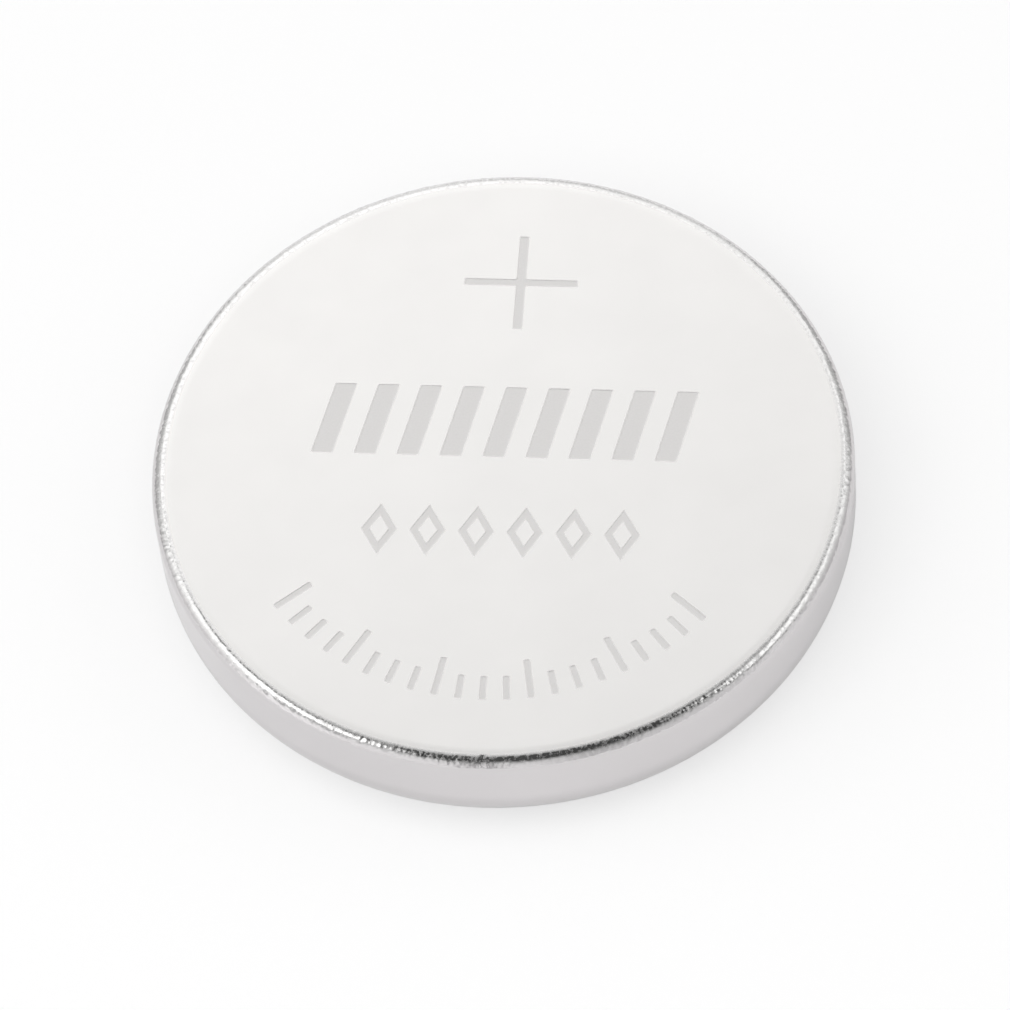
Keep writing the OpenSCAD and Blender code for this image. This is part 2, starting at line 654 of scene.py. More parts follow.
@dataclass(frozen=True)
class NickelPlate:
    """Nickel-plated steel: a satin face, a bright shoulder and a smooth drawn side, whose colour
    holds painted shade.
    """

    face: Colour = (0.905, 0.892, 0.879)
    shoulder: Colour = (0.85, 0.843, 0.836)
    # Colour of the side: partly the duller tone of drawn nickel, partly painted shade for the
    # shadowed floor that the side mirrors
    side: Colour = (0.64, 0.621, 0.627)
    # Painted shade: the side is darkened low down and on the rolled rim, where it mirrors the
    # floor's contact shadow
    low_side_painted_shade: float = 0.86  # share of the side's colour low down and on the rim
    face_roughness: float = 0.26
    shoulder_roughness: float = 0.1
    side_roughness: float = 0.2
    # Share of the light that the matt grain of the face mirrors; it scatters the rest evenly
    face_metal: float = 0.65
    top: float = 3.2 * MM  # height of the face, in metres
    bend: float = 0.28 * MM  # radius of the shoulder, in metres
    satin: float = 7.6 * MM  # radius at which the satin face starts to turn bright, in metres

    def material(self) -> bpy.types.Material:
        """Builds the plated finish.

        Returns:
            The material.
        """
        tree = ShaderTree.new("nickel_plate")
        place = tree.place()
        radius, _, height = tree.polar(place)
        near_top, above_side = (
            tree.ramp(height, self.top - low * self.bend, self.top - high * self.bend)
            for low, high in ((0.5, 0.3), (0.35, 0.1))
        )
        inside = tree.ramp(radius, self.satin + 0.15 * self.bend, self.satin)
        on_face = tree.product(near_top, inside)
        on_shoulder = tree.product(above_side, tree.math("SUBTRACT", 1.0, on_face))
        # Painted shade that darkens the side low down and on the rim, for the floor's contact
        # shadow that it mirrors there
        painted_shade_low_down = tree.ramp(height, 0.6 * self.top, 0.45 * self.top)
        side = tree.shades(painted_shade_low_down, self.side, 1.0, self.low_side_painted_shade)
        tint = tree.blend(on_face, tree.blend(above_side, side, self.shoulder), self.face)
        clouds = tree.spread(tree.noise(place, 2.2, 4.0), 0.985, 1.012)
        shade = tree.add("ShaderNodeVectorMath", {0: tint, 1: clouds}, operation="MULTIPLY")
        grain = tree.noise(tree.stretched(place, (0.1, 1.0, 1.0)), 0.14, 1.0)
        pits = tree.noise(place, 0.07, 2.0)
        pitted = tree.ramp(pits, 0.44, 0.62)
        worn = tree.mix_values(pitted, self.shoulder_roughness, 3 * self.shoulder_roughness)
        satin = tree.mix_values(above_side, self.side_roughness, worn)
        satin = tree.mix_values(on_face, satin, self.face_roughness)
        roughness = tree.product(satin, tree.spread(tree.noise(place, 0.6, 2.0), 0.97, 1.03))
        normal = tree.bump(pits, 0.0014, on_shoulder)
        normal = tree.bump(grain, 0.0003, 0.15, normal)
        normal = tree.bump(tree.noise(place, 1.8, 2.0), 0.006, 0.5, normal)
        metallic = tree.mix_values(on_face, 1.0, self.face_metal)
        return tree.surface(shade.outputs[0], roughness, normal, metallic)


@dataclass(frozen=True)
class EtchedNickel:
    """The floor of the stamped marks, duller than the face around them."""

    colour: Colour = (0.77, 0.757, 0.747)
    roughness: Point = (0.38, 0.06)  # its roughness, and how far that varies
    metal: float = 0.65  # share of the light that it mirrors

    def material(self) -> bpy.types.Material:
        """Builds the dull finish of the marks.

        Returns:
            The material.
        """
        tree = ShaderTree.new("etched_nickel")
        grit = tree.noise(tree.place(), 0.05, 4.0)
        shade = tree.shades(grit, self.colour, 0.94, 1.05)
        mean, change = self.roughness
        roughness = tree.spread(grit, mean - change, mean + change)
        return tree.surface(shade, roughness, tree.bump(grit, 0.003, 0.5), self.metal)


@dataclass(frozen=True)
class SatinSteel:
    """Pressed stainless steel with fine turning rings and a light grain."""

    name: str = "cap_steel"
    colour: Colour = (0.78, 0.775, 0.77)
    roughness: float = 0.27
    ring_pitch: float = 0.09  # distance between the turning rings, in millimetres
    ring_drift: float = 0.4 * MM  # change of the rings round a radian, in metres

    def material(self) -> bpy.types.Material:
        """Builds the pressed steel.

        Returns:
            The material.
        """
        tree = ShaderTree.new(self.name)
        place = tree.place()
        radius, angle, _ = tree.polar(place)
        drift = tree.product(angle, self.ring_drift)
        turned = tree.add("ShaderNodeCombineXYZ", {0: radius, 1: drift})
        rings = tree.noise(turned.outputs[0], self.ring_pitch, 2.0)
        grain = tree.noise(place, 0.07)
        shade = tree.shades(rings, self.colour, 0.955, 1.035)
        roughness = tree.product(tree.spread(grain, 0.88, 1.15), self.roughness)
        normal = tree.bump(grain, 0.0015, 0.35, tree.bump(rings, 0.0016, 0.35))
        return tree.surface(shade, roughness, normal, 1.0)


@dataclass(frozen=True)
class MouldedPolymer:
    """Moulded polypropylene with a fine matt grain."""

    colour: Colour = (0.055, 0.058, 0.066)
    roughness: Point = (0.42, 0.07)  # its roughness, and how far that varies

    def material(self) -> bpy.types.Material:
        """Builds the moulded plastic.

        Returns:
            The material.
        """
        tree = ShaderTree.new("gasket_polymer")
        place = tree.place()
        grain = tree.noise(place, 0.05)
        shade = tree.shades(tree.noise(place, 1.2, 2.0), self.colour, 0.8, 1.3)
        mean, change = self.roughness
        roughness = tree.spread(grain, mean - change, mean + change)
        return tree.surface(shade, roughness, tree.bump(grain, 0.004, 0.4))


@dataclass(frozen=True)
class LithiumFoil:
    """Rolled lithium, soft and slightly tarnished."""

    bright: Colour = (0.70, 0.71, 0.74)
    dull: Colour = (0.42, 0.42, 0.46)

    def material(self) -> bpy.types.Material:
        """Builds the rolled foil.

        Returns:
            The material.
        """
        tree = ShaderTree.new("lithium_foil")
        place = tree.place()
        tarnish = tree.noise(place, 1.6, 4.0)
        rolled = tree.noise(tree.stretched(place, (0.08, 1.0, 1.0)), 0.08, 2.0)
        shade = tree.blend(tree.ramp(tarnish, 0.45, 0.75), self.bright, self.dull)
        roughness = tree.spread(tarnish, 0.38, 0.6)
        return tree.surface(shade, roughness, tree.bump(rolled, 0.004, 0.5), 1.0)


@dataclass(frozen=True)
class SeparatorFleece:
    """White non-woven fleece of crossing fibres."""

    fibre: Colour = (0.90, 0.90, 0.87)
    gap: Colour = (0.62, 0.62, 0.60)  # colour between the fibres
    fibre_width: float = 0.05
    turns: tuple[float, ...] = (0.3, 1.4, 2.5)  # direction of each layer of fibres, in radians
    roughness: float = 0.95

    def material(self) -> bpy.types.Material:
        """Builds the fleece from layers of drawn-out noise.

        Returns:
            The material.
        """
        tree = ShaderTree.new("separator_fleece")
        place = tree.place()
        layers = []
        for turn in self.turns:
            turned = tree.add("ShaderNodeMapping", {"Vector": place, "Rotation": (0, 0, turn)})
            drawn_out = tree.stretched(turned.outputs[0], (0.1, 1, 1))
            layers.append(tree.noise(drawn_out, self.fibre_width, 1.0))
        fibres = reduce(lambda one, other: tree.math("MAXIMUM", one, other), layers)
        fibres = tree.ramp(fibres, 0.45, 0.65)
        shade = tree.blend(fibres, self.gap, self.fibre)
        return tree.surface(shade, self.roughness, tree.bump(fibres, 0.02, 0.6))


@dataclass(frozen=True)
class PressedOxide:
    """Black powder pressed into a pellet, with a few coarser grains."""

    powder: Colour = (0.016, 0.016, 0.018)
    grains: Colour = (0.07, 0.07, 0.075)
    grain_pitch: float = 0.16  # distance between the coarser grains, in millimetres

    def material(self) -> bpy.types.Material:
        """Builds the pressed powder.

        Returns:
            The material.
        """
        tree = ShaderTree.new("pellet_oxide")
        place = tree.place()
        fine = tree.noise(place, 0.05, 5.0)
        inputs = {"Vector": place, "Scale": 1 / (self.grain_pitch * MM)}
        cells = tree.add("ShaderNodeTexVoronoi", inputs).outputs["Distance"]
        shade = tree.blend(tree.ramp(cells, 0.28, 0.12), self.powder, self.grains)
        return tree.surface(shade, tree.spread(fine, 0.75, 0.95), tree.bump(fine, 0.015, 0.7))


# Pieces of the cell


@dataclass(frozen=True)
class Dent:
    """One small dent in the shoulder."""

    angle: float  # its place about the axis, in degrees from +X
    tilt: float  # its place down the shoulder, in degrees from the face
    width: float  # its reach around the shoulder, in millimetres
    height: float  # its reach down the shoulder
    depth: float


@dataclass
class PositiveCan:
    """The drawn can: stamped face, crinkled shoulder, side wall and rolled rim.

    Sizes are in millimetres, and so they are in the cap and the gasket.
    """

    steps: int = 2160
    sheet: float = 0.2  # sheet thickness, as in the solid
    shoulder: float = 0.28  # outside radius of the shoulder
    roll: float = 1.2  # outside radius of the rolled rim
    roll_degrees: float = 80.0  # angle through which the rim is rolled
    blank_sheet: float = 0.1  # thickness of the blank that the marks are stamped into
    flat_margin: float = 0.18  # width at the edge of the face that falls away to the shoulder
    margin_rows: int = 6  # rows of faces in that margin
    fall: float = 0.0045  # how far that margin falls
    bend_start: float = 84.0  # angle at which the shoulder takes over from the margin, in degrees
    crinkle: float = 0.062  # slope of the crinkles that drawing leaves on the shoulder
    crinkle_widths: Point = (0.06, 0.3)  # width of the finest and of the broadest crinkles
    crinkle_rows: int = 15  # rows of the relief between the face and the side
    crinkle_seed: int = 11
    crinkle_fade: float = 1.2  # how fast the crinkles fade towards the face and the side
    smooth_angle: float = -78.0  # place of the stretch with the least relief, in degrees from +X
    smooth_reach: float = 18.0  # reach of that stretch, in degrees
    smooth_left: float = 0.45  # share of the relief that is left there
    satin_inset: float = 0.05  # from the shoulder in to where the face starts to turn bright
    sharp: float = 50.0  # edges that turn by more degrees than this stay sharp
    # Small dents that wear has left on the shoulder
    dents: tuple[Dent, ...] = (
        Dent(-89.1, 7.0, 0.05, 0.05, 0.009),
        Dent(-80.8, 66.0, 0.09, 0.03, 0.002),
    )
    marks: StampedMarks = field(default_factory=StampedMarks)

    def __post_init__(self) -> None:
        """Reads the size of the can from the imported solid."""
        low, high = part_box("positive_can")
        self.radius, self.top = high.x, high.z
        self.flat = self.radius - (self.shoulder + self.flat_margin) * MM
        self.roll_height = low.z + self.roll * MM * math.sin(math.radians(self.roll_degrees))

    def blank(self) -> Lathe:
        """Stamps the marks into a flat blank and leaves its upper skin.

        Returns:
            The lathe, with the rim of the stamped face selected.
        """
        lathe = Lathe("positive_can_shell", self.steps)
        piece = lathe.start(self.flat, self.top, filled=True)
        select(piece, Pick.FACES, lambda centre, normal: True)
        down = (0, 0, -self.blank_sheet * MM)
        bpy.ops.mesh.extrude_region_move(TRANSFORM_OT_translate={"value": down})
        face_outward(piece)
        punch = self.marks.punch(self.top)
        activate(piece)
        cut = piece.modifiers.new("stamp", "BOOLEAN")
        cut.operation = "DIFFERENCE"
        cut.solver = "EXACT"
        cut.object = punch
        bpy.ops.object.modifier_apply(modifier=cut.name)
        bpy.data.objects.remove(punch)
        skin = self.top - 0.4 * self.blank_sheet * MM
        select(piece, Pick.FACES, lambda centre, normal: centre.z < skin)
        bpy.ops.mesh.delete(type="FACE")
        leave_edit()
        lathe.hold_rim()
        return lathe

    def draw(self, lathe: Lathe) -> None:
        """Draws the stamped blank into the can, and rolls its rim in.

        Args:
            lathe: The lathe with the stamped face.
        """
        sheet, shoulder, roll = self.sheet * MM, self.shoulder * MM, self.roll * MM
        for row in range(1, self.margin_rows + 1):
            share = row / self.margin_rows
            fallen = share**2 * (3 - 2 * share) * self.fall
            lathe.to(self.flat + share * self.flat_margin * MM, self.top - fallen * MM)
        bend = (self.radius - shoulder, self.top - shoulder)
        fallen_bend = (bend[0], bend[1] - self.fall * MM)
        lathe.bend(fallen_bend, shoulder, self.bend_start, 0, parts=13)
        lathe.to(self.radius, 0.5 * (self.top + self.roll_height))
        lathe.to(self.radius, self.roll_height)
        rolled = (self.radius - roll, self.roll_height)
        lathe.bend(rolled, roll, 0, -self.roll_degrees, parts=12)
        lathe.bend(rolled, roll - sheet, -self.roll_degrees, 0, parts=6)
        lathe.to(self.radius - sheet, bend[1])
        lathe.bend(bend, shoulder - sheet, 0, 90, parts=2)
        lathe.cover()

    def relief(self) -> np.ndarray:
        """Draws the fine uneven relief of the shoulder from noise of many widths.

        Returns:
            One row for each line around the shoulder, with heights in millimetres at a slope
            of about 1.
        """
        draw = np.random.default_rng(self.crinkle_seed)
        rows = 2 * self.crinkle_rows
        row_pitch = self.shoulder * math.pi / 2 / (self.crinkle_rows - 1)
        pitch = 2 * math.pi * self.radius / MM / self.steps
        across = np.fft.fftfreq(rows, row_pitch)[:, None]
        around = np.fft.rfftfreq(self.steps, pitch)[None, :]
        fine, broad = self.crinkle_widths
        waves = np.hypot(across, around)
        share = np.exp(-((waves * fine) ** 2)) / np.hypot(waves, 1 / broad)
        heights = np.fft.irfft2(np.fft.rfft2(draw.normal(size=(rows, self.steps))) * share)
        slopes = np.gradient(heights, pitch, axis=1)
        return (heights - heights.mean())[: self.crinkle_rows] / slopes.std()

    def crinkle_shoulder(self, piece: Object) -> None:
        """Moves the vertices of the shoulder in and out along the normal of the bend.

        Args:
            piece: The drawn can.
        """
        mesh = piece.data
        points = np.zeros(len(mesh.vertices) * 3)
        mesh.vertices.foreach_get("co", points)
        points = points.reshape(-1, 3)
        shoulder = self.shoulder * MM
        out = np.hypot(points[:, 0], points[:, 1]) - (self.radius - shoulder)
        up = points[:, 2] - (self.top - shoulder - self.fall * MM)
        distance = np.hypot(out, up)
        on_bend = (out > -1e-7) & (up > 1e-7) & (np.abs(distance - shoulder) < 1e-6)
        share = np.clip(np.arctan2(out, up) / (math.pi / 2), 0, 1)
        angle = np.arctan2(points[:, 1], points[:, 0])
        table = self.relief()
        row = share * (self.crinkle_rows - 1)
        lower = np.minimum(row.astype(int), self.crinkle_rows - 2)
        column = np.rint(angle / (2 * math.pi) * self.steps).astype(int) % self.steps
        part = row - lower
        height = table[lower, column] * (1 - part) + table[lower + 1, column] * part
        stretch = (angle - math.radians(self.smooth_angle)) / math.radians(self.smooth_reach)
        height *= 1 - (1 - self.smooth_left) * np.exp(-(stretch**2))
        height *= np.sin(share * math.pi) ** self.crinkle_fade * on_bend
        height *= self.crinkle * MM
        for dent in self.dents:
            around = (angle - math.radians(dent.angle)) * self.radius / (dent.width * MM)
            down = (share * 90 - dent.tilt) * math.radians(self.shoulder / dent.height)
            height -= dent.depth * MM * np.exp(-(around**2) - down**2) * on_bend
        normal = np.stack([np.cos(angle) * out, np.sin(angle) * out, up], axis=1)
        points = points + normal * (height / np.maximum(distance, 1e-9))[:, None]
        mesh.vertices.foreach_set("co", points.ravel())
        mesh.update()

    def finish_marks(self, piece: Object) -> None:
        """Makes the face and the marks flat, and gives their floors the duller finish.

        Args:
            piece: The drawn can, with its two finishes.
        """
        inner = self.flat * 0.9999
        deepest = self.top - 1.5 * self.marks.depth * MM
        floor = self.top - 0.1 * self.marks.depth * MM

        def stamped(centre: Vector, normal: Vector) -> bool:
            """Whether a face lies on the stamped skin."""
            return centre.z > deepest and radius_of(centre) < inner

        def sunk(centre: Vector, normal: Vector) -> bool:
            """Whether a face lies in a mark."""
            return centre.z < floor and stamped(centre, normal)

        select(piece, Pick.FACES, stamped)
        bpy.ops.mesh.faces_shade_flat()
        select(piece, Pick.FACES, sunk)
        piece.active_material_index = 1
        bpy.ops.object.material_slot_assign()
        leave_edit()

    def build(self) -> Object:
        """Models and dresses the can.

        Returns:
            The finished can.
        """
        lathe = self.blank()
        self.draw(lathe)
        piece = lathe.finish(self.sharp)
        self.crinkle_shoulder(piece)
        satin = self.radius - (self.shoulder + self.satin_inset) * MM
        plate = NickelPlate(top=self.top, bend=self.shoulder * MM, satin=satin)
        dress(piece, plate.material(), EtchedNickel().material())
        self.finish_marks(piece)
        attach(piece, "root")
        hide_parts("positive_can")
        return piece


@dataclass
class NegativeCap:
    """The stepped cap: contact, step, flange and skirt."""

    steps: int = 720
    sheet: float = 0.2  # sheet thickness, as in the solid
    edge: float = 0.35  # outside radius around the contact
    foot: float = 0.25  # radius at the foot of the step
    bend: float = 0.68  # outside radius of the bend under the gasket
    wall: float = 6.35  # radius of the wall of the step
    rise: float = 1.0  # height of the flange over the contact
    sharp: float = 40.0  # edges that turn by more degrees than this stay sharp

    def build(self) -> Object:
        """Models and dresses the cap.

        Returns:
            The finished cap.
        """
        low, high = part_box("negative_cap")
        sheet, edge, foot, bend, wall, rise = (
            MM * v for v in (self.sheet, self.edge, self.foot, self.bend, self.wall, self.rise)
        )
        skirt, flange = high.x, low.z + rise
        contact_bend = (wall - edge, low.z + edge)
        step_foot = (wall + foot, flange - foot)
        roll = (skirt - bend, flange + bend)
        lathe = Lathe("negative_cap_shell", self.steps)
        lathe.start(wall - edge, low.z, filled=True)
        lathe.bend(contact_bend, edge, -90, 0, parts=8)
        lathe.bend(step_foot, foot, 180, 90, parts=8)
        lathe.bend(roll, bend, -90, 0, parts=10)
        lathe.to(skirt, high.z)
        lathe.to(skirt - sheet, high.z)
        lathe.bend(roll, bend - sheet, 0, -90, parts=8)
        lathe.bend(step_foot, foot + sheet, 90, 180, parts=8)
        lathe.bend(contact_bend, edge - sheet, 0, -90, parts=5)
        lathe.cover()
        piece = lathe.finish(self.sharp)
        dress(piece, SatinSteel().material())
        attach(piece, "root")
        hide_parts("negative_cap")
        return piece


@dataclass
class SealingGasket:
    """The moulded channel around the skirt of the cap, with the lip that shows in the crimp."""

    steps: int = 720
    wall: float = 0.3  # wall between the can and the cap, as in the solid
    lip_wall: float = 0.24
    lip_length: float = 0.6  # length of the inner lip below the floor of the channel
    floor: float = 0.35  # thickness of the floor of the channel
    # Distance from the outside of the gasket in to the centre of the crimp
    roll_inset: float = 0.99
    shown: float = 0.15  # width of the lip that shows inside the crimp
    corner: float = 0.07  # radius of the upper outer corner
    edge: float = 0.04  # radius of the edges of the lip that shows
    cap_sheet: float = 0.2  # sheet thickness of the cap, whose skirt stands in the channel
    sharp: float = 40.0  # edges that turn by more degrees than this stay sharp

    def build(self) -> Object:
        """Models and dresses the gasket.

        Returns:
            The finished gasket.
        """
        low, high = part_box("sealing_gasket")
        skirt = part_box("negative_cap")[1].x
        film = high.x - self.wall * MM - skirt
        roll_out = self.roll_inset * MM
        roll_in = roll_out - self.wall * MM
        centre = (high.x - roll_out, low.z + roll_out)
        lip_out = skirt - self.cap_sheet * MM - film
        lip_in = lip_out - self.lip_wall * MM
        channel = high.z - self.floor * MM
        lip_end = channel - self.lip_length * MM
        corner, edge = self.corner * MM, self.edge * MM
        end_r = centre[0] - self.shown * MM
        lathe = Lathe("sealing_gasket_ring", self.steps)
        lathe.start(end_r, low.z + edge, filled=False)
        lathe.bend((end_r + edge, low.z + edge), edge, 180, 270, parts=4)
        lathe.bend(centre, roll_out, -90, 0, parts=16)
        lathe.bend((high.x - corner, high.z - corner), corner, 0, 90, parts=4)
        lathe.to(lip_in, high.z)
        lathe.to(lip_in, lip_end)
        lathe.to(lip_out, lip_end)
        lathe.to(lip_out, channel)
        lathe.to(high.x - self.wall * MM, channel)
        lathe.bend(centre, roll_in, 0, -90, parts=12)
        lathe.bend((end_r + edge, centre[1] - roll_in - edge), edge, 90, 180, parts=4)
        lathe.to(end_r, low.z + edge)
        lathe.join_ends()
        piece = lathe.finish(self.sharp)
        dress(piece, MouldedPolymer().material())
        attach(piece, "root")
        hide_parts("sealing_gasket")
        return piece


@dataclass
class ElectrodeStack:
    """The sealed pieces, which keep their solids and get their finishes."""

    grid: SatinSteel = SatinSteel("grid_steel", (0.62, 0.63, 0.66), 0.35, 0.2)

    def dress(self) -> list[Object]:
        """Gives each sealed piece its material.

        Returns:
            The dressed pieces.
        """
        finishes = {
            "lithium_disc": LithiumFoil(),
            "separator": SeparatorFleece(),
            "cathode_pellet": PressedOxide(),
            "collector_grid": self.grid,
        }
        for name, finish in finishes.items():
            dress(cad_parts[name], finish.material())
        return [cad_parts[name] for name in finishes]


# Studio


@dataclass(frozen=True)
class PaleFloor:
    """A plain pale floor that takes the shadow of the cell, clear when seen from below."""

    colour: Colour = (0.95, 0.95, 0.95)
    radius: float = 0.45  # in metres
    lift: float = 0.03  # light added where metal looks at it
    # Share of plain white where the camera looks, which keeps the rest of the shadow
    white: float = 0.62
    # Radius at which the floor starts to fade, and at which it is plain white
    fade: Point = (0.012, 0.05)
    gap: float = 0.004 * MM  # depth of the floor under the contact of the cell

    def build(self) -> Object:
        """Adds the floor under the cell.

        Returns:
            The floor.
        """
        deselect_objects()
        bpy.ops.mesh.primitive_circle_add(vertices=96, radius=self.radius, fill_type="NGON")
        floor = bpy.context.object
        floor.name = "floor"
        edit_all()
        bpy.ops.mesh.inset(thickness=self.radius * 0.6)
        bpy.ops.transform.translate(value=(0, 0, -self.gap))
        leave_edit()
        floor.data.materials.append(self.material())
        return floor

    def material(self) -> bpy.types.Material:
        """Builds a matt floor that reads white in the picture and in metal.

        Returns:
            The material.
        """
        tree = ShaderTree.new("pale_floor")
        place = tree.place()
        shade = tree.shades(tree.noise(place, 0.4), self.colour, 0.995, 1.0)
        matt = tree.add("ShaderNodeBsdfDiffuse", {"Color": shade}).outputs[0]
        camera, mirrored = tree.seen()
        added = {"Color": WHITE, "Strength": tree.product(mirrored, self.lift)}
        glow = tree.add("ShaderNodeEmission", added).outputs[0]
        lit = tree.add("ShaderNodeAddShader", {0: matt, 1: glow}).outputs[0]
        plain = tree.add("ShaderNodeEmission", {"Color": WHITE, "Strength": 1.0}).outputs[0]
        far = tree.ramp(tree.polar(place)[0], *self.fade)
        white = tree.product(camera, tree.mix_values(far, self.white, 1.0))
        shown = tree.add("ShaderNodeMixShader", {0: white, 1: lit, 2: plain})
        under = tree.add("ShaderNodeNewGeometry").outputs["Backfacing"]
        passed = tree.add("ShaderNodeLightPath").outputs["Transparent Depth"]
        below = tree.math("MINIMUM", tree.math("ADD", under, passed), 1.0)
        clear = tree.add("ShaderNodeBsdfTransparent").outputs[0]
        shown = tree.add("ShaderNodeMixShader", {0: below, 1: shown.outputs[0], 2: clear})
        tree.add("ShaderNodeOutputMaterial", {"Surface": shown.outputs[0]})
        return tree.material


@dataclass(frozen=True)
class Viewpoint:
    """The camera, fitted to the outline of the cell in the photograph."""

    elevation: float = 57.556  # degrees above the floor
    azimuth: float = 9.4  # degrees about the axis, from the front of the cell towards +X
    roll: float = -6.381  # turn of the camera about its line of sight, in degrees
    distance: float = 145.13  # from the centre of the positive face, in millimetres
    pixels_per_mm: float = 44.076  # scale at that centre, in pixels of the photograph
    aside: float = 0.069  # shift of the camera to its right, in millimetres
    above: float = -1.003  # shift of the camera up, in millimetres
    sensor: float = 36.0  # width of the sensor, in millimetres
    clip: Point = (0.005, 10.0)  # nearest and farthest distance that the camera sees, in metres

    def axes(self) -> tuple[Vector, Vector, Vector]:
        """Works out the directions of the camera.

        Returns:
            Its right, up and backward directions.
        """
        rise = math.radians(self.elevation)
        spin = Matrix.Rotation(math.radians(self.azimuth), 3, "Z")
        back = spin @ Vector((0, -math.cos(rise), math.sin(rise)))
        level = spin @ Vector((1, 0, 0))
        upright = back.cross(level)
        roll = math.radians(self.roll)
        right = level * math.cos(roll) + upright * math.sin(roll)
        up = upright * math.cos(roll) - level * math.sin(roll)
        return right, up, back

    def build(self) -> Object:
        """Adds the camera and makes it the scene's own.

        Returns:
            The camera.
        """
        right, up, back = self.axes()
        top = Vector((0, 0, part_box("positive_can")[1].z))
        place = top + MM * (back * self.distance + right * self.aside + up * self.above)
        data = bpy.data.cameras.new("camera")
        data.sensor_width = self.sensor
        data.lens = self.pixels_per_mm * self.distance * self.sensor / PHOTO_PIXELS
        data.clip_start, data.clip_end = self.clip
        camera = bpy.data.objects.new("camera", data)
        bpy.context.scene.collection.objects.link(camera)
        turn = Matrix((right, up, back)).transposed().to_4x4()
        camera.matrix_world = Matrix.Translation(place) @ turn
        bpy.context.scene.camera = camera
        return camera


@dataclass(frozen=True)
class Softbox:
    """A soft lamp that faces the cell."""

    name: str
    azimuth: float  # degrees about the axis, from the camera's side towards its right
    elevation: float  # degrees above the floor
    distance: float  # from the cell, in metres
    size: Point  # width and height, in metres
    level: float  # brightness of its face, where 1 is white

    def build(self, front: float) -> Object:
        """Adds the lamp.

        Args:
            front: Azimuth of the camera, in degrees.

        Returns:
            The lamp.
        """
        turn = math.radians(self.azimuth + front)
        rise = math.radians(self.elevation)
        out = math.cos(rise)
        direction = Vector((math.sin(turn) * out, -math.cos(turn) * out, math.sin(rise)))
        data = bpy.data.lights.new(self.name, "AREA")
        data.shape = "RECTANGLE"
        data.size, data.size_y = self.size
        data.energy = self.level * math.pi * self.size[0] * self.size[1]
        lamp = bpy.data.objects.new(self.name, data)
        bpy.context.scene.collection.objects.link(lamp)
        lamp.visible_glossy = False
        lamp.location = direction * self.distance
        lamp.rotation_euler = direction.to_track_quat("Z", "Y").to_euler()
        return lamp


